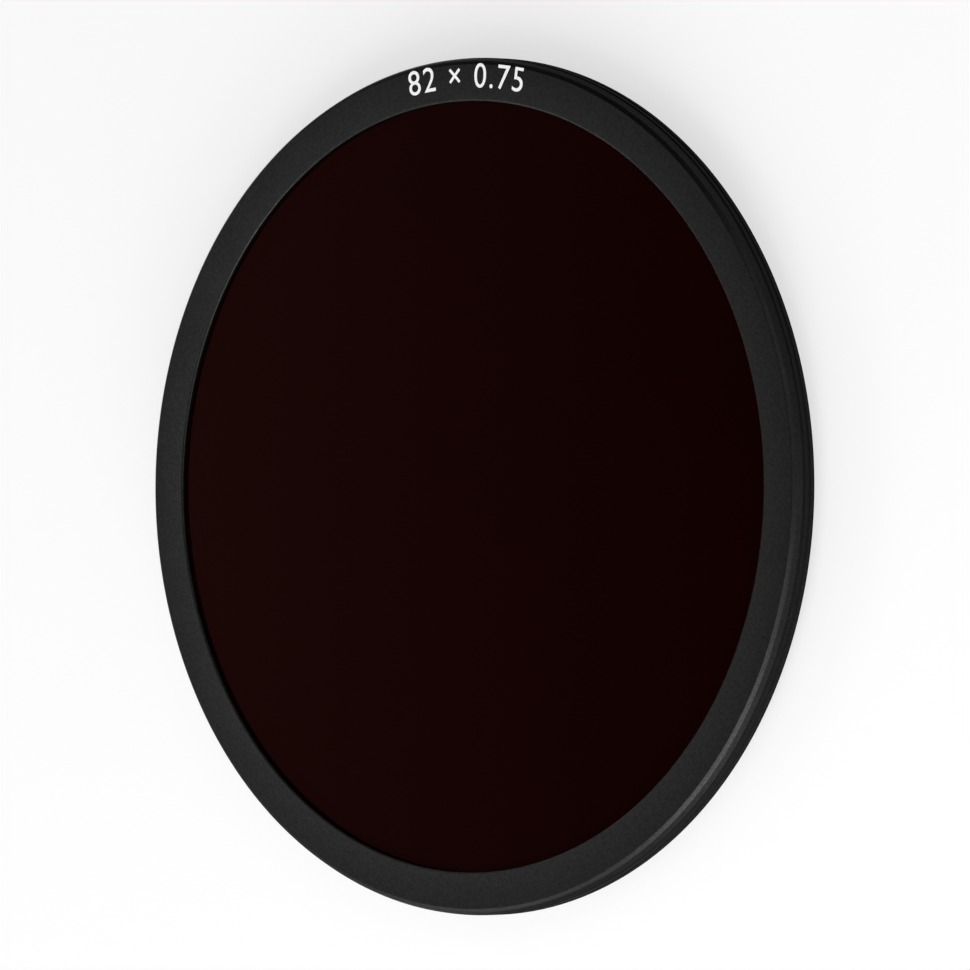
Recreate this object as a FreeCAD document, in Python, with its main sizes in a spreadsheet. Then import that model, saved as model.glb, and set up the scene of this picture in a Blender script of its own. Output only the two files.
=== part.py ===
import FreeCAD, Part
import os

import Sketcher

# A slim screw-in neutral density filter, lying on the end of its thread with the front face up.
# Z = 0 is the end of the thread and +Z points out of the front. Each piece is turned about Z.

os.makedirs("parts", exist_ok=True)
doc = FreeCAD.newDocument("NeutralDensityFilter")

# Driving dimensions, in millimetres unless the name says otherwise.
DIMENSIONS = {
    # Ring: flange, lip and the thread behind them
    "ring_diameter": 86.0,
    "flange_height": 2.75,
    "thread_diameter": 82.0,
    "thread_length": 2.2,
    "relief_diameter": 80.9,
    "relief_width": 0.4,
    "bore_diameter": 79.5,
    "lip_diameter": 77.3,
    "lip_thickness": 0.5,
    # Edges of the ring
    "front_chamfer_width": 0.36,
    "front_chamfer_height": 0.3,
    "front_taper_width": 0.3,
    "front_taper_height": 0.7,
    "lip_edge_width": 0.2,
    "lip_edge_depth": 0.06,
    "shoulder_break": 0.1,
    "thread_lead": 0.35,
    "bore_mouth_bevel": 0.15,
    # Grip grooves round the flange, the first measured back from the front face
    "grip_groove_setback": 1.1,
    "grip_groove_width": 0.42,
    "grip_floor_width": 0.38,
    "grip_groove_depth": 0.13,
    "grip_groove_pitch": 0.82,
    "grip_groove_count": 2,
    # Glass disc
    "glass_diameter": 79.4,
    "glass_thickness": 2.0,
    "glass_bevel": 0.2,
    # Retaining ring behind the glass
    "retainer_height": 1.2,
    "retainer_bevel": 0.1,
    "notch_width": 2.0,
    "notch_depth": 0.6,
    "notch_count": 2,
}

sheet = doc.addObject("Spreadsheet::Sheet", "Dimensions")
for row, (alias, value) in enumerate(DIMENSIONS.items(), start=1):
    sheet.set(f"A{row}", alias)
    sheet.set(f"B{row}", str(value))
    sheet.setAlias(f"B{row}", alias)
doc.recompute()

# Expressions that several pieces share
RING_RADIUS = "Dimensions.ring_diameter / 2"
THREAD_RADIUS = "Dimensions.thread_diameter / 2"
BORE_RADIUS = "Dimensions.bore_diameter / 2"
LIP_RADIUS = "Dimensions.lip_diameter / 2"
SHOULDER = "Dimensions.thread_length"
FRONT = "Dimensions.thread_length + Dimensions.flange_height"
SEAT = f"{FRONT} - Dimensions.lip_thickness"
GLASS_REAR = f"{SEAT} - Dimensions.glass_thickness"
AXIS_LEVEL = "0"

FULL_TURN = 360.0
SAME_PLACE = 1e-6


def value_of(expression):
    """The number that an expression of the sheet stands for."""
    return float(sheet.evalExpression(expression))


def new_body(label):
    body = doc.addObject("PartDesign::Body", label)
    body.Label = label
    return body


def new_sketch(body, name, plane_role):
    """An empty sketch on one of the body's own origin planes."""
    sketch = body.newObject("Sketcher::SketchObject", name)
    plane = next(item for item in body.Origin.OriginFeatures if item.Role == plane_role)
    sketch.AttachmentSupport = (plane, [""])
    sketch.MapMode = "FlatFace"
    return sketch


def bind(sketch, kind, element, place, expression):
    """Hold one coordinate of a sketch point to an expression of the sheet."""
    if expression == AXIS_LEVEL:
        sketch.addConstraint(Sketcher.Constraint("PointOnObject", element, place, -1))
        return
    constraint = Sketcher.Constraint(kind, -1, 1, element, place, value_of(expression))
    index = sketch.addConstraint(constraint)
    sketch.setExpression(f"Constraints[{index}]", expression)


def half_section(body, name, corners):
    """A closed outline in the body's XZ plane, whose corners are a radius and a height each."""
    sketch = new_sketch(body, name, "XZ_Plane")
    points = [FreeCAD.Vector(value_of(radius), value_of(height), 0) for radius, height in corners]
    for start, end in zip(points, points[1:] + points[:1]):
        sketch.addGeometry(Part.LineSegment(start, end))
    for element, (radius, height) in enumerate(corners):
        following = (element + 1) % len(corners)
        sketch.addConstraint(Sketcher.Constraint("Coincident", element, 2, following, 1))
        bind(sketch, "DistanceX", element, 1, radius)
        bind(sketch, "DistanceY", element, 1, height)
    return sketch


def turned(body, kind, name, sketch):
    """A full turn of a section about Z: a Revolution adds it, a Groove cuts it."""
    feature = body.newObject(f"PartDesign::{kind}", name)
    feature.Profile = sketch
    feature.ReferenceAxis = (sketch, ["V_Axis"])
    feature.Angle = FULL_TURN
    doc.recompute()
    return feature


def rim(feature, radius, height):
    """The name of the round edge of a feature with this radius at this height."""
    for number, edge in enumerate(feature.Shape.Edges, start=1):
        if not isinstance(edge.Curve, Part.Circle):
            continue
        same_radius = abs(edge.Curve.Radius - value_of(radius)) < SAME_PLACE
        same_height = abs(edge.Curve.Center.z - value_of(height)) < SAME_PLACE
        if same_radius and same_height:
            return f"Edge{number}"
    raise ValueError(f"no rim of radius {radius} at {height}")


def bevelled(body, name, base, rims, size):
    """A chamfer of equal legs on the rims of the base feature."""
    chamfer = body.newObject("PartDesign::Chamfer", name)
    chamfer.Base = (base, [rim(base, radius, height) for radius, height in rims])
    chamfer.setExpression("Size", size)
    doc.recompute()
    return chamfer


def build_filter_ring():
    """The turned ring: a lip over the glass, a grip edge, a bore and the thread for the lens."""
    body = new_body("filter_ring")
    blank = turned(body, "Revolution", "TurnedBlank", half_section(body, "BlankSection", [
        (LIP_RADIUS, SEAT),
        (LIP_RADIUS, FRONT),
        (RING_RADIUS, FRONT),
        (RING_RADIUS, SHOULDER),
        (THREAD_RADIUS, SHOULDER),
        (THREAD_RADIUS, AXIS_LEVEL),
        (BORE_RADIUS, AXIS_LEVEL),
        (BORE_RADIUS, SEAT),
    ]))

    shoulder = bevelled(body, "ShoulderBreak", blank, [(RING_RADIUS, SHOULDER)], "Dimensions.shoulder_break")
    lead = bevelled(body, "ThreadLead", shoulder, [(THREAD_RADIUS, AXIS_LEVEL)], "Dimensions.thread_lead")
    bevelled(body, "BoreMouth", lead, [(BORE_RADIUS, AXIS_LEVEL)], "Dimensions.bore_mouth_bevel")

    # The thread runs out into an undercut below the shoulder.
    undercut_floor = "Dimensions.relief_diameter / 2"
    undercut_start = f"{SHOULDER} - Dimensions.relief_width"
    turned(body, "Groove", "ThreadRelief", half_section(body, "ReliefSection", [
        (undercut_floor, SHOULDER),
        (RING_RADIUS, SHOULDER),
        (RING_RADIUS, undercut_start),
        (undercut_floor, undercut_start),
    ]))

    # The face rolls off a little towards the lip.
    turned(body, "Groove", "LipRollOff", half_section(body, "LipEdgeSection", [
        (LIP_RADIUS, FRONT),
        (f"{LIP_RADIUS} + Dimensions.lip_edge_width", FRONT),
        (LIP_RADIUS, f"{FRONT} - Dimensions.lip_edge_depth"),
    ]))

    # Towards the wall, the face ends in a chamfer, and a slightly tapered band follows down to the grip.
    band_start = f"{FRONT} - Dimensions.front_chamfer_height"
    band_inner = f"{RING_RADIUS} - Dimensions.front_taper_width"
    turned(body, "Groove", "FrontEdge", half_section(body, "FrontEdgeSection", [
        (f"{band_inner} - Dimensions.front_chamfer_width", FRONT),
        (RING_RADIUS, FRONT),
        (RING_RADIUS, f"{band_start} - Dimensions.front_taper_height"),
        (band_inner, band_start),
    ]))

    # Grip grooves are nearly square, with a little draft; the first is repeated down the wall.
    groove_centre = f"{FRONT} - Dimensions.grip_groove_setback"
    groove_floor = f"{RING_RADIUS} - Dimensions.grip_groove_depth"
    tip = half_section(body, "GripGrooveSection", [
        (RING_RADIUS, f"{groove_centre} + Dimensions.grip_groove_width / 2"),
        (groove_floor, f"{groove_centre} + Dimensions.grip_floor_width / 2"),
        (groove_floor, f"{groove_centre} - Dimensions.grip_floor_width / 2"),
        (RING_RADIUS, f"{groove_centre} - Dimensions.grip_groove_width / 2"),
    ])
    groove = turned(body, "Groove", "GripGroove", tip)

    grip = body.newObject("PartDesign::LinearPattern", "GripGrooves")
    grip.Originals = [groove]
    grip.Direction = (tip, ["V_Axis"])
    grip.Reversed = True
    grip.setExpression("Length", "Dimensions.grip_groove_pitch * (Dimensions.grip_groove_count - 1)")
    grip.setExpression("Occurrences", "Dimensions.grip_groove_count")
    body.Tip = grip
    doc.recompute()
    return body


def build_nd_glass():
    """The dark glass disc, its edges bevelled, seated under the lip."""
    body = new_body("nd_glass")
    outline = new_sketch(body, "GlassOutline", "XY_Plane")
    glass_radius = "Dimensions.glass_diameter / 2"
    upwards = FreeCAD.Vector(0, 0, 1)
    outline.addGeometry(Part.Circle(FreeCAD.Vector(0, 0, 0), upwards, value_of(glass_radius)))
    outline.addConstraint(Sketcher.Constraint("Coincident", 0, 3, -1, 1))
    size = outline.addConstraint(Sketcher.Constraint("Radius", 0, value_of(glass_radius)))
    outline.setExpression(f"Constraints[{size}]", glass_radius)

    disc = body.newObject("PartDesign::Pad", "GlassDisc")
    disc.Profile = outline
    disc.setExpression("Length", "Dimensions.glass_thickness")
    doc.recompute()
    both_faces = [(glass_radius, AXIS_LEVEL), (glass_radius, "Dimensions.glass_thickness")]
    bevelled(body, "GlassBevel", disc, both_faces, "Dimensions.glass_bevel")
    body.setExpression("Placement.Base.z", GLASS_REAR)
    return body


def build_retaining_ring():
    """The threaded ring that presses the glass against the lip, with notches for a pin spanner."""
    body = new_body("retaining_ring")
    top = "Dimensions.retainer_height"
    hoop = turned(body, "Revolution", "Hoop", half_section(body, "HoopSection", [
        (LIP_RADIUS, AXIS_LEVEL),
        (BORE_RADIUS, AXIS_LEVEL),
        (BORE_RADIUS, top),
        (LIP_RADIUS, top),
    ]))
    rear_rims = [(LIP_RADIUS, AXIS_LEVEL), (BORE_RADIUS, AXIS_LEVEL)]
    bevelled(body, "RearBevels", hoop, rear_rims, "Dimensions.retainer_bevel")

    # One notch is sawn across the hoop from its rear face and repeated round the axis.
    notch_edge = new_sketch(body, "NotchOutline", "XZ_Plane")
    half_width = "Dimensions.notch_width / 2"
    left, right = -value_of(half_width), value_of(half_width)
    low, high = 0.0, value_of("Dimensions.notch_depth")
    corners = [(left, low), (right, low), (right, high), (left, high)]
    points = [FreeCAD.Vector(across, up, 0) for across, up in corners]
    for start, end in zip(points, points[1:] + points[:1]):
        notch_edge.addGeometry(Part.LineSegment(start, end))
    for element in range(len(corners)):
        following = (element + 1) % len(corners)
        notch_edge.addConstraint(Sketcher.Constraint("Coincident", element, 2, following, 1))
    bind(notch_edge, "DistanceX", 0, 1, f"-{half_width}")
    bind(notch_edge, "DistanceX", 1, 1, half_width)
    bind(notch_edge, "DistanceY", 0, 1, AXIS_LEVEL)
    bind(notch_edge, "DistanceY", 2, 1, "Dimensions.notch_depth")
    notch_edge.addConstraint(Sketcher.Constraint("Horizontal", 0))
    notch_edge.addConstraint(Sketcher.Constraint("Vertical", 1))
    notch_edge.addConstraint(Sketcher.Constraint("Horizontal", 2))
    notch_edge.addConstraint(Sketcher.Constraint("Vertical", 3))

    notch = body.newObject("PartDesign::Pocket", "Notch")
    notch.Profile = notch_edge
    notch.Type = "ThroughAll"
    doc.recompute()

    notches = body.newObject("PartDesign::PolarPattern", "Notches")
    notches.Originals = [notch]
    notches.Axis = (notch_edge, ["V_Axis"])
    notches.Angle = FULL_TURN
    notches.setExpression("Occurrences", "Dimensions.notch_count")
    body.Tip = notches
    body.setExpression("Placement.Base.z", f"{GLASS_REAR} - {top}")
    doc.recompute()
    return body


def check(bodies):
    """Stop if a feature failed, a cut took nothing away or a piece is not one valid solid."""
    failed = [item.Name for item in doc.Objects if "Invalid" in item.State or "Error" in item.State]
    if failed:
        raise RuntimeError(f"failed features: {failed}")
    for item in doc.Objects:
        base = getattr(item, "BaseFeature", None)
        if base is not None and item.Shape.Volume >= base.Shape.Volume:
            raise RuntimeError(f"{item.Name} takes nothing away")
    for body in bodies:
        shape = body.Shape
        if shape.isNull() or not shape.isValid() or len(shape.Solids) != 1:
            raise RuntimeError(f"{body.Label} is not one valid solid")


pieces = [build_filter_ring(), build_nd_glass(), build_retaining_ring()]
doc.recompute()
check(pieces)
for piece in pieces:
    piece.Shape.exportStep(f"parts/{piece.Label}.step")
    box = piece.Shape.optimalBoundingBox(False, False)
    print(f"{piece.Label}: volume {piece.Shape.Volume:.1f} mm3, height {box.ZMin:.3f} to {box.ZMax:.3f} mm")
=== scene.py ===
import math

import bmesh
import bpy
from mathutils import Matrix, Vector


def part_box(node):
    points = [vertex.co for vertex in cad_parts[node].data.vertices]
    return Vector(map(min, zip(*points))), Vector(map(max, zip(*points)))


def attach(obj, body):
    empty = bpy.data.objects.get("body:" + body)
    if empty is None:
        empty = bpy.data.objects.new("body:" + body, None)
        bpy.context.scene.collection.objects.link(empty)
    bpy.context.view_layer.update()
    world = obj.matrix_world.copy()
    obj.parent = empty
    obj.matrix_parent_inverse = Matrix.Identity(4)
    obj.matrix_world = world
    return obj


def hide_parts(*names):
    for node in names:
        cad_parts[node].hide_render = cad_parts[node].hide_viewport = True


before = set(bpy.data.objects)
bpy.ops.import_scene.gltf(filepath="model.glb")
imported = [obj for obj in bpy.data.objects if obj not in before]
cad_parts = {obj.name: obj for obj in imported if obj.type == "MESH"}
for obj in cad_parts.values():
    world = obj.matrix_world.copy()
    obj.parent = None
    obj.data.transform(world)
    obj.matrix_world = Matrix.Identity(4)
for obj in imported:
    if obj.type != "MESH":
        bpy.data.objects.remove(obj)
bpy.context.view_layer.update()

MM = 0.001
AXIS = Vector((0, 0, 1))
scene = bpy.context.scene
_, ring_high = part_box("filter_ring")
glass_low, glass_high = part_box("nd_glass")

# Section of the ring, in metres: radii from the axis, heights from the end of the thread
RING_RADIUS = ring_high.x
FRONT = ring_high.z
SEAT = glass_high.z
BORE_RADIUS = 39.75 * MM
MOUTH_BEVEL = 0.15 * MM
LIP_RADIUS = 38.65 * MM
LIP_EDGE_WIDTH = 0.2 * MM
LIP_EDGE_DEPTH = 0.06 * MM
CHAMFER_WIDTH = 0.36 * MM
CHAMFER_HEIGHT = 0.3 * MM
TAPER_WIDTH = 0.3 * MM
TAPER_HEIGHT = 0.7 * MM
FACE_RADIUS = RING_RADIUS - TAPER_WIDTH - CHAMFER_WIDTH
GROOVE_SETBACK = 1.1 * MM
GROOVE_PITCH = 0.82 * MM
GROOVE_COUNT = 2
GROOVE_WIDTH = 0.42 * MM
GROOVE_FLOOR = 0.38 * MM
GROOVE_DEPTH = 0.13 * MM
SHOULDER_BREAK = 0.1 * MM

# The thread, and the undercut between it and the shoulder
THREAD_RADIUS = 41.0 * MM
THREAD_LENGTH = 2.2 * MM
THREAD_PITCH = 0.75 * MM
THREAD_DEPTH = 0.6134 * THREAD_PITCH
THREAD_ROOT = THREAD_RADIUS - THREAD_DEPTH
THREAD_SUNK = 0.04 * MM
THREAD_HALF_CREST = THREAD_PITCH / 16
THREAD_HALF_BASE = THREAD_PITCH * 3 / 8
THREAD_START = -1.5 * THREAD_PITCH
THREAD_TURNS = 5
THREAD_FOOT = 0.01 * MM
THREAD_LEAD = 0.35 * MM
RELIEF_RADIUS = 40.45 * MM
RELIEF_WIDTH = 0.4 * MM
THREAD_END = THREAD_LENGTH - RELIEF_WIDTH

# The glass
GLASS_REAR = glass_low.z
GLASS_RADIUS = glass_high.x
GLASS_BEVEL = 0.2 * MM

# Rounding of the turned edges, and steps of a full turn
EDGE_ROUND = 0.015 * MM
EDGE_STEPS = 2
FACE_ROUND = 0.06 * MM
FACE_STEPS = 4
LIP_ROUND = 0.06 * MM
LIP_STEPS = 4
TURN_STEPS = 288
SAME_PLACE = 1e-7

# The marking on the front face: a plain thread size
MARKING = "82 × 0.75"
MARKING_SPACING = 1.14
MARKING_CAP_HEIGHT = 2.45 * MM
MARKING_BASE_RADIUS = 39.98 * MM
MARKING_ANGLE = 90.6
MARKING_THICKNESS = 0.01 * MM

# Camera: a long lens that looks down on the front face, turned so that +Y is up in the picture
PICTURE = 970
CAMERA_DISTANCE = 1.159
CAMERA_SLANT = 41.11
CAMERA_ROLL = -0.42
CAMERA_REACH = 10
PIXELS_PER_METRE = 9.978 / MM
CENTRE_X = 466.35
CENTRE_Y = 486.4
SENSOR = 36.0

# The set: the share of the floor that is plain white to what sees it, and the softboxes, each with azimuth and
# elevation in degrees, distance and size in metres, and radiance, of which 1 would look white. The last one
# has a fade as well.
FLOOR_SIZE = 3.0
FLOOR_GAP = 0.02 * MM
FLOOR_GLOW = 0.65
WORLD_LIGHT = 0.06
LARGE = (0.42, 0.42)
SMALL = (0.16, 0.16)
SOFTBOXES = {
    "key_softbox": (-70, 42, 0.75, LARGE, 3.8),
    "key_edge_softbox": (-100, 27, 0.75, LARGE, 1.15),
    "low_softbox": (-65, 10, 0.75, LARGE, 9.2),
    "front_softbox": (-20, 12, 0.75, (0.8, 0.42), 1.55),
    "upper_softbox": (-36, 50, 0.75, LARGE, 1.95),
    "fill_softbox": (40, 45, 0.75, LARGE, 1.15),
    "rim_softbox": (-130, 14, 0.75, LARGE, 3.1),
    "lip_softbox": (-133, 61, 0.75, SMALL, 3.2),
    "lip_top_softbox": (-157, 30, 0.75, SMALL, 5.0),
    "lip_foot_softbox": (156, 28, 0.75, SMALL, 3.0),
    "side_softbox": (180, 49, 0.65, (0.4, 0.4), 1.65, (0.2, 0.68, 0.1)),
}


def colour(hex_text):
    """An sRGB hex value as the linear colour that a shader socket takes."""
    channels = [int(hex_text[i:i + 2], 16) / 255 for i in (1, 3, 5)]
    linear = [c / 12.92 if c <= 0.04045 else ((c + 0.055) / 1.055) ** 2.4 for c in channels]
    return (*linear, 1.0)


def add(tree, kind, sockets=None, **settings):
    """Add one shader node, with its settings; a socket given another node's output is linked to it."""
    node = tree.nodes.new(kind)
    for name, value in settings.items():
        setattr(node, name, value)
    for name, value in (sockets or {}).items():
        if isinstance(value, bpy.types.NodeSocket):
            tree.links.new(value, node.inputs[name])
        else:
            node.inputs[name].default_value = value
    return node


def noise(tree, place, size, detail):
    """Noise whose features are about as large as the size."""
    return add(tree, "ShaderNodeTexNoise", {"Vector": place, "Scale": 1 / size, "Detail": detail}).outputs["Fac"]


def carry(tree, value, source, target, **settings):
    """A value carried from one range to another and held at its ends."""
    return add(tree, "ShaderNodeMapRange", {
        "Value": value, "From Min": source[0], "From Max": source[1],
        "To Min": target[0], "To Max": target[1]}, **settings).outputs["Result"]


def blend(tree, factor, low, high):
    """A colour between two hex values."""
    return add(tree, "ShaderNodeMix", {
        "Factor": factor, "A": colour(low), "B": colour(high)}, data_type="RGBA").outputs["Result"]


def calculate(tree, operation, first, second):
    """One sum on two values."""
    return add(tree, "ShaderNodeMath", {0: first, 1: second}, operation=operation).outputs["Value"]


def new_material(name):
    """A node material with nothing in its tree, and that tree."""
    material = bpy.data.materials.new(name)
    material.use_nodes = True
    material.node_tree.nodes.clear()
    return material, material.node_tree


def black_anodised_aluminium():
    """Blasted and black-dyed aluminium: a soft, grainy grey sheen, with painted light and shade that make it
    paler towards the lip and darker below the chamfer, and more matt on the grip and the thread."""
    material, tree = new_material("black_anodised_aluminium")
    grit = 0.28 * MM
    mottle = 6.0 * MM
    blast_depth = 0.03 * MM
    below_chamfer = (FRONT - 0.4 * MM, FRONT - 0.25 * MM)
    grip_top = (FRONT - 0.95 * MM, FRONT - 0.85 * MM)
    place = add(tree, "ShaderNodeTexCoord").outputs["Object"]
    grain = noise(tree, place, grit, 2.0)
    cloud = noise(tree, place, mottle, 1.0)
    across = add(tree, "ShaderNodeVectorMath", {0: place, 1: (1, 1, 0)}, operation="MULTIPLY")
    radius = add(tree, "ShaderNodeVectorMath", {0: across.outputs["Vector"]}, operation="LENGTH")
    height = add(tree, "ShaderNodeSeparateXYZ", {"Vector": place}).outputs["Z"]
    # Painted light and shade: the colour is made paler at the lip and darker towards the outer edge of the face.
    painted_radial_light = carry(tree, radius.outputs["Value"], (LIP_RADIUS, FACE_RADIUS), (1.1, 0.83))
    # Painted shade: the colour is made darker below the chamfer, on the band and the grip.
    painted_shade_below_chamfer = carry(tree, height, below_chamfer, (0.68, 1.0))
    dye = blend(tree, carry(tree, grain, (0.35, 0.65), (0.0, 1.0)), "#2c2c2c", "#343434")
    # The dye, scaled by the painted light and shade.
    dye_with_painted_light = add(tree, "ShaderNodeVectorMath", {
        0: dye, "Scale": calculate(tree, "MULTIPLY", painted_radial_light, painted_shade_below_chamfer)}, operation="SCALE")
    sheen = carry(tree, cloud, (0.3, 0.7), (0.38, 0.44))
    matting = carry(tree, height, grip_top, (0.2, 0.0))
    blast = add(tree, "ShaderNodeBump", {"Height": grain, "Strength": 0.25, "Distance": blast_depth})
    shader = add(tree, "ShaderNodeBsdfPrincipled", {
        "Base Color": dye_with_painted_light.outputs["Vector"], "Roughness": calculate(tree, "ADD", sheen, matting),
        "Normal": blast.outputs["Normal"], "Metallic": 1.0, "Specular Tint": colour("#bcbcbc")})
    add(tree, "ShaderNodeOutputMaterial", {"Surface": shader.outputs["BSDF"]})
    return material


def turned_black_aluminium():
    """Black-dyed aluminium as it left the lathe: fine circles that catch the light."""
    material, tree = new_material("turned_black_aluminium")
    feed = 0.12 * MM
    lay_depth = 0.01 * MM
    place = add(tree, "ShaderNodeTexCoord").outputs["Object"]
    circles = add(tree, "ShaderNodeTexWave", {
        "Vector": place, "Scale": math.tau / 20 / feed, "Distortion": 0.6, "Detail": 1.0},
        wave_type="RINGS", rings_direction="Z").outputs["Fac"]
    lay = add(tree, "ShaderNodeBump", {"Height": circles, "Strength": 0.3, "Distance": lay_depth})
    shader = add(tree, "ShaderNodeBsdfPrincipled", {
        "Base Color": blend(tree, circles, "#242424", "#2e2e2e"), "Normal": lay.outputs["Normal"],
        "Roughness": 0.36, "Metallic": 1.0, "Specular Tint": colour("#bcbcbc")})
    add(tree, "ShaderNodeOutputMaterial", {"Surface": shader.outputs["BSDF"]})
    return material


def coated_dark_glass():
    """Polished dark glass with an anti-reflection coat, whose faint leftover reflection is red; its dark red
    colour is the glass's own tint, painted on as the light that shines through it.
    """
    material, tree = new_material("coated_dark_glass")
    smear = 15.0 * MM
    place = add(tree, "ShaderNodeTexCoord").outputs["Object"]
    film = noise(tree, place, smear, 1.0)
    # Painted light: the dark red base colour stands in for light shining through the glass from behind.
    shader = add(tree, "ShaderNodeBsdfPrincipled", {
        "Base Color": blend(tree, film, "#0c0000", "#0f0000"),
        "Roughness": carry(tree, film, (0.0, 1.0), (0.03, 0.05)),
        "Specular IOR Level": 0.05, "Specular Tint": colour("#ff5030"), "Alpha": 0.984})
    add(tree, "ShaderNodeOutputMaterial", {"Surface": shader.outputs["BSDF"]})
    return material


def white_marking_ink():
    """White fill of an engraved marking: flat and slightly uneven."""
    material, tree = new_material("white_marking_ink")
    speck = 0.3 * MM
    place = add(tree, "ShaderNodeTexCoord").outputs["Object"]
    grain = noise(tree, place, speck, 2.0)
    shader = add(tree, "ShaderNodeBsdfPrincipled", {
        "Base Color": blend(tree, grain, "#f4f4f0", "#ffffff"), "Roughness": 0.6, "Specular IOR Level": 0.3})
    add(tree, "ShaderNodeOutputMaterial", {"Surface": shader.outputs["BSDF"]})
    return material


def studio_white():
    """White studio floor; what sees it, the camera or a reflection, sees it part lit and part plain white."""
    material, tree = new_material("studio_white")
    light_path = add(tree, "ShaderNodeLightPath").outputs
    seen = light_path["Is Camera Ray"]
    for kind in ("Is Glossy Ray", "Is Transmission Ray"):
        seen = calculate(tree, "MAXIMUM", seen, light_path[kind])
    paper = add(tree, "ShaderNodeBsdfDiffuse", {"Color": colour("#fbfbfb")})
    glow = add(tree, "ShaderNodeEmission", {"Color": colour("#ffffff"), "Strength": 1.0})
    shader = add(tree, "ShaderNodeMixShader", {
        "Fac": calculate(tree, "MULTIPLY", seen, FLOOR_GLOW),
        1: paper.outputs["BSDF"], 2: glow.outputs["Emission"]})
    add(tree, "ShaderNodeOutputMaterial", {"Surface": shader.outputs["Shader"]})
    return material


def piece_from(bm, name, material):
    """A finished bmesh as an object at the origin that rides on the one body."""
    mesh = bpy.data.meshes.new(name)
    bm.to_mesh(mesh)
    bm.free()
    mesh.materials.append(material)
    piece = bpy.data.objects.new(name, mesh)
    scene.collection.objects.link(piece)
    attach(piece, "root")
    return piece


def shade(piece, sharp_deg=40):
    """Smooth shading that keeps the flats flat."""
    piece.data.shade_smooth()
    piece.data.set_sharp_from_angle(angle=math.radians(sharp_deg))
    weighted = piece.modifiers.new("even_normals", "WEIGHTED_NORMAL")
    weighted.keep_sharp = True


def raise_faces(bm, height):
    """Extrude everything flat in the bmesh straight up."""
    raised = bmesh.ops.extrude_face_region(bm, geom=bm.faces[:])
    top = [item for item in raised["geom"] if isinstance(item, bmesh.types.BMVert)]
    bmesh.ops.translate(bm, verts=top, vec=(0, 0, height))


def section_wire(bm, corners):
    """A closed outline in the XZ plane from corners of radius and height."""
    points = [bm.verts.new((radius, 0, height)) for radius, height in corners]
    for start, end in zip(points, points[1:] + points[:1]):
        bm.edges.new((start, end))
    return points


def turn(bm):
    """Spin everything in the bmesh once about the axis and close it."""
    wire = bm.verts[:] + bm.edges[:]
    bmesh.ops.spin(bm, geom=wire, cent=(0, 0, 0), axis=AXIS, dvec=(0, 0, 0), angle=math.tau,
                   steps=TURN_STEPS, use_merge=True, use_duplicate=False)
    bmesh.ops.remove_doubles(bm, verts=bm.verts[:], dist=SAME_PLACE)
    bmesh.ops.recalc_face_normals(bm, faces=bm.faces[:])


def front_edge():
    """Corners of the front edge: the face, a chamfer, and a tapered band to the mouth of the first groove."""
    mouth = GROOVE_SETBACK - GROOVE_WIDTH / 2
    left = TAPER_WIDTH * (CHAMFER_HEIGHT + TAPER_HEIGHT - mouth) / TAPER_HEIGHT
    return [
        (FACE_RADIUS, FRONT),
        (RING_RADIUS - TAPER_WIDTH, FRONT - CHAMFER_HEIGHT),
        (RING_RADIUS - left, FRONT - mouth),
    ]


def grip_grooves():
    """Corners of the grip grooves, from the floor of the first to the lower edge of the last."""
    floor = RING_RADIUS - GROOVE_DEPTH
    corners = []
    for number in range(GROOVE_COUNT):
        centre = FRONT - GROOVE_SETBACK - number * GROOVE_PITCH
        corners += [
            (floor, centre + GROOVE_FLOOR / 2),
            (floor, centre - GROOVE_FLOOR / 2),
            (RING_RADIUS, centre - GROOVE_WIDTH / 2),
        ]
        if number < GROOVE_COUNT - 1:
            corners.append((RING_RADIUS, centre - GROOVE_PITCH + GROOVE_WIDTH / 2))
    return corners


def ring_section():
    """Corners of the ring's section, with the root of the thread where the thread will be wound on."""
    return [
        (LIP_RADIUS, SEAT),
        (LIP_RADIUS, FRONT - LIP_EDGE_DEPTH),
        (LIP_RADIUS + LIP_EDGE_WIDTH, FRONT),
        *front_edge(),
        *grip_grooves(),
        (RING_RADIUS, THREAD_LENGTH + SHOULDER_BREAK),
        (RING_RADIUS - SHOULDER_BREAK, THREAD_LENGTH),
        (RELIEF_RADIUS, THREAD_LENGTH),
        (RELIEF_RADIUS, THREAD_END),
        (THREAD_ROOT, THREAD_END),
        (THREAD_ROOT, 0),
        (BORE_RADIUS + MOUTH_BEVEL, 0),
        (BORE_RADIUS, MOUTH_BEVEL),
        (BORE_RADIUS, SEAT),
    ]


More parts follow.
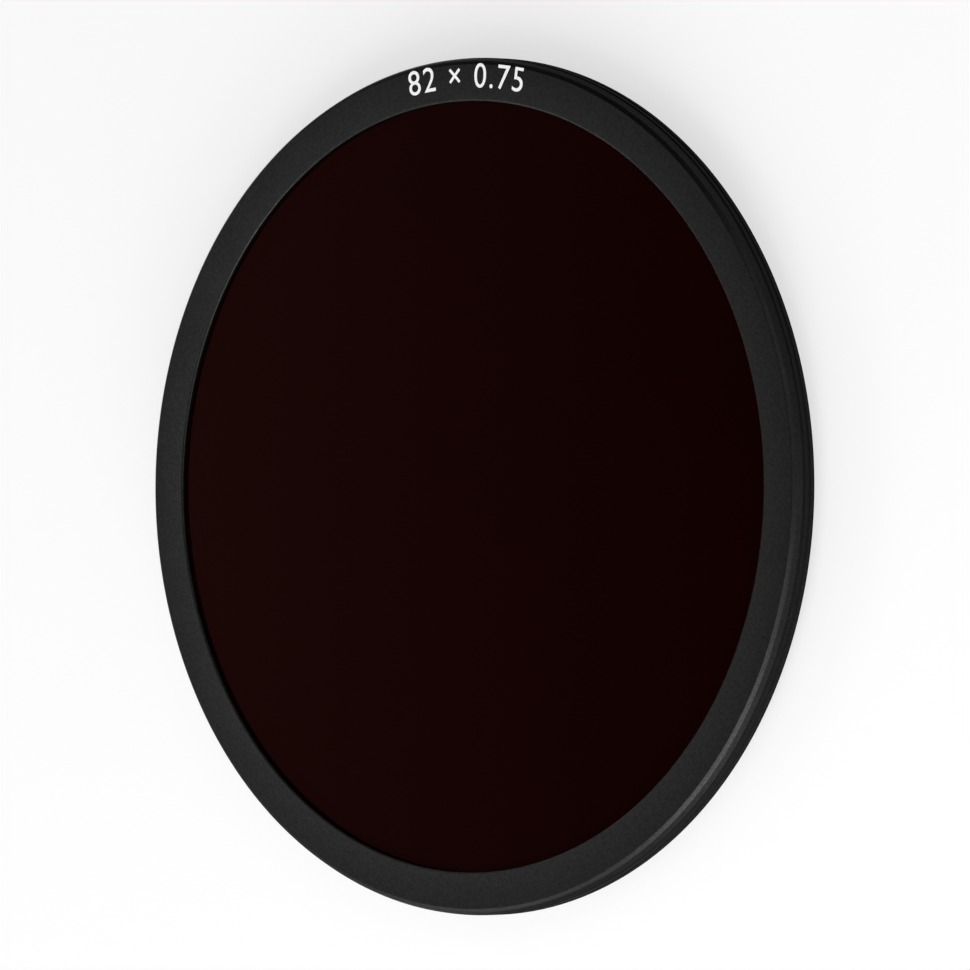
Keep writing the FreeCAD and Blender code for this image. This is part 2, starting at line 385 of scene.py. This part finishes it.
def wind_thread(bm):
    """A right-handed thread of trapezoid section wound on the root, trimmed at both ends and by its lead."""
    sunk = THREAD_ROOT - THREAD_SUNK
    profile = [
        (sunk, THREAD_START - THREAD_HALF_BASE),
        (sunk, THREAD_START + THREAD_HALF_BASE),
        (THREAD_RADIUS, THREAD_START + THREAD_HALF_CREST),
        (THREAD_RADIUS, THREAD_START - THREAD_HALF_CREST),
    ]
    ridge = bmesh.new()
    points = [ridge.verts.new((radius, 0, height)) for radius, height in profile]
    ridge.faces.new(points)
    bmesh.ops.spin(ridge, geom=ridge.faces[:], cent=(0, 0, 0), axis=AXIS,
                   dvec=(0, 0, THREAD_PITCH / TURN_STEPS), angle=THREAD_TURNS * math.tau,
                   steps=THREAD_TURNS * TURN_STEPS, use_merge=False, use_duplicate=False)
    for height, outward in ((THREAD_FOOT, -1), (THREAD_END, 1)):
        everything = ridge.verts[:] + ridge.edges[:] + ridge.faces[:]
        cut = bmesh.ops.bisect_plane(ridge, geom=everything, plane_co=(0, 0, height),
                                     plane_no=(0, 0, outward), clear_outer=True)
        rim = [item for item in cut["geom_cut"] if isinstance(item, bmesh.types.BMEdge)]
        bmesh.ops.holes_fill(ridge, edges=rim, sides=0)
    for vert in ridge.verts:
        radius = math.hypot(vert.co.x, vert.co.y)
        allowed = THREAD_RADIUS - THREAD_LEAD + max(vert.co.z, 0)
        if radius > allowed:
            vert.co.x *= allowed / radius
            vert.co.y *= allowed / radius
    bmesh.ops.recalc_face_normals(ridge, faces=ridge.faces[:])
    wound = bpy.data.meshes.new("wound_thread")
    ridge.to_mesh(wound)
    ridge.free()
    bm.from_mesh(wound)
    bpy.data.meshes.remove(wound)


def make_filter_ring(finish):
    """The ring with rounded edges and the thread wound on."""
    bm = bmesh.new()
    corners = section_wire(bm, ring_section())
    face_end = [point for point in corners
                if point.co.x > BORE_RADIUS and point.co.z > FRONT - EDGE_ROUND]
    lip_end = [point for point in corners
               if point.co.x < LIP_RADIUS + EDGE_ROUND and point.co.z > SEAT + EDGE_ROUND]
    others = [point for point in corners if point not in face_end + lip_end]
    rounds = (
        (face_end, FACE_ROUND, FACE_STEPS),
        (lip_end, LIP_ROUND, LIP_STEPS),
        (others, EDGE_ROUND, EDGE_STEPS),
    )
    for points, offset, steps in rounds:
        bmesh.ops.bevel(bm, geom=points, offset=offset, segments=steps, profile=0.5,
                        affect="VERTICES", material=-1)
    turn(bm)
    wind_thread(bm)
    ring = piece_from(bm, "turned_filter_ring", finish)
    shade(ring)
    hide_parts("filter_ring")


def make_glass(finish):
    """The glass disc with ground bevels."""
    bm = bmesh.new()
    bmesh.ops.create_circle(bm, cap_ends=True, radius=GLASS_RADIUS, segments=TURN_STEPS,
                            matrix=Matrix.Translation((0, 0, GLASS_REAR)))
    raise_faces(bm, SEAT - GLASS_REAR)
    rims = [edge for edge in bm.edges if abs(edge.verts[0].co.z - edge.verts[1].co.z) < SAME_PLACE]
    bmesh.ops.bevel(bm, geom=rims, offset=GLASS_BEVEL, segments=1, profile=0.5,
                    affect="EDGES", material=-1)
    bmesh.ops.recalc_face_normals(bm, faces=bm.faces[:])
    glass = piece_from(bm, "dark_glass_disc", finish)
    shade(glass)
    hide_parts("nd_glass")


def make_retainer(finish):
    """The retaining ring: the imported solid's form with its facets smoothed."""
    bm = bmesh.new()
    bm.from_mesh(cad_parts["retaining_ring"].data)
    bmesh.ops.remove_doubles(bm, verts=bm.verts[:], dist=1e-6)
    retainer = piece_from(bm, "notched_retaining_ring", finish)
    shade(retainer, 20)
    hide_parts("retaining_ring")


def flat_marking():
    """The marking's letters as a flat mesh, with a letter size of 1."""
    text = bpy.data.curves.new("marking_text", "FONT")
    text.body = MARKING
    text.align_x = "CENTER"
    text.size = 1.0
    text.space_character = MARKING_SPACING
    text.resolution_u = 6
    holder = bpy.data.objects.new("marking_text", text)
    scene.collection.objects.link(holder)
    bpy.context.view_layer.update()
    flat = bpy.data.meshes.new_from_object(holder.evaluated_get(bpy.context.evaluated_depsgraph_get()))
    bpy.data.objects.remove(holder)
    bpy.data.curves.remove(text)
    return flat


def make_marking(ink):
    """The thread size in white round the top of the front face."""
    flat = flat_marking()
    bm = bmesh.new()
    bm.from_mesh(flat)
    bpy.data.meshes.remove(flat)
    bmesh.ops.remove_doubles(bm, verts=bm.verts[:], dist=1e-5)
    scale = MARKING_CAP_HEIGHT / max(vert.co.y for vert in bm.verts)
    bmesh.ops.scale(bm, vec=(scale, scale, scale), verts=bm.verts[:])
    raise_faces(bm, MARKING_THICKNESS)
    middle = MARKING_BASE_RADIUS + MARKING_CAP_HEIGHT / 2
    for vert in bm.verts:
        angle = math.radians(MARKING_ANGLE) - vert.co.x / middle
        radius = MARKING_BASE_RADIUS + vert.co.y
        vert.co = Vector((radius * math.cos(angle), radius * math.sin(angle), FRONT + vert.co.z))
    bmesh.ops.recalc_face_normals(bm, faces=bm.faces[:])
    piece_from(bm, "size_marking", ink)


def make_camera():
    """The photo's camera, with the centre of the front face at its place in the picture."""
    slant, roll = math.radians(CAMERA_SLANT), math.radians(CAMERA_ROLL)
    view = Vector((math.sin(slant), 0, math.cos(slant)))
    side = Vector((0, 1, 0)).cross(view).normalized()
    up = view.cross(side)
    right = side * math.cos(roll) - up * math.sin(roll)
    top = side * math.sin(roll) + up * math.cos(roll)
    right_shift = (PICTURE / 2 - CENTRE_X) / PIXELS_PER_METRE
    up_shift = (CENTRE_Y - PICTURE / 2) / PIXELS_PER_METRE
    eye = Vector((0, 0, FRONT)) + view * CAMERA_DISTANCE + right * right_shift + top * up_shift
    lens = bpy.data.cameras.new("camera")
    lens.sensor_width = SENSOR
    lens.lens = PIXELS_PER_METRE * CAMERA_DISTANCE * SENSOR / PICTURE
    lens.clip_end = CAMERA_REACH
    camera = bpy.data.objects.new("camera", lens)
    turned = Matrix((right, top, view)).transposed().to_4x4()
    camera.matrix_world = Matrix.Translation(eye) @ turned
    scene.collection.objects.link(camera)
    scene.camera = camera


def make_floor():
    """A plain floor just under the end of the thread."""
    bm = bmesh.new()
    bmesh.ops.create_grid(bm, x_segments=1, y_segments=1, size=FLOOR_SIZE,
                          matrix=Matrix.Translation((0, 0, -FLOOR_GAP)))
    mesh = bpy.data.meshes.new("floor")
    bm.to_mesh(mesh)
    bm.free()
    mesh.materials.append(studio_white())
    floor = bpy.data.objects.new("floor", mesh)
    scene.collection.objects.link(floor)


def make_softbox(name, azimuth, elevation, distance, size, radiance, fade=None):
    """A softbox aimed at the object. A fade is where, from its lower to its upper edge, it starts and ends to
    grow dark, and the share of the radiance that is left there."""
    flat = math.cos(math.radians(elevation))
    towards = Vector((flat * math.cos(math.radians(azimuth)), flat * math.sin(math.radians(azimuth)),
                      math.sin(math.radians(elevation))))
    lamp = bpy.data.lights.new(name, "AREA")
    lamp.shape = "RECTANGLE"
    lamp.size, lamp.size_y = size
    lamp.energy = radiance * math.pi * size[0] * size[1]
    if fade:
        start, end, left = fade
        lamp.use_nodes = True
        tree = lamp.node_tree
        tree.nodes.clear()
        place = add(tree, "ShaderNodeTexCoord").outputs["UV"]
        upward = add(tree, "ShaderNodeSeparateXYZ", {"Vector": place}).outputs["Y"]
        share = carry(tree, upward, (start, end), (1.0, left), interpolation_type="SMOOTHSTEP")
        glow = add(tree, "ShaderNodeEmission", {"Strength": share})
        add(tree, "ShaderNodeOutputLight", {"Surface": glow.outputs["Emission"]})
    box = bpy.data.objects.new(name, lamp)
    box.location = towards * distance
    box.rotation_euler = towards.to_track_quat("Z", "Y").to_euler()
    scene.collection.objects.link(box)


def make_world():
    """A dim, even light from all round."""
    world = bpy.data.worlds.new("studio")
    world.use_nodes = True
    scene.world = world
    tree = world.node_tree
    tree.nodes.clear()
    air = add(tree, "ShaderNodeBackground", {"Color": colour("#ffffff"), "Strength": WORLD_LIGHT})
    add(tree, "ShaderNodeOutputWorld", {"Surface": air.outputs["Background"]})


make_filter_ring(black_anodised_aluminium())
make_glass(coated_dark_glass())
make_retainer(turned_black_aluminium())
make_marking(white_marking_ink())
make_camera()
make_floor()
for softbox, settings in SOFTBOXES.items():
    make_softbox(softbox, *settings)
make_world()
scene.view_settings.view_transform = "Standard"
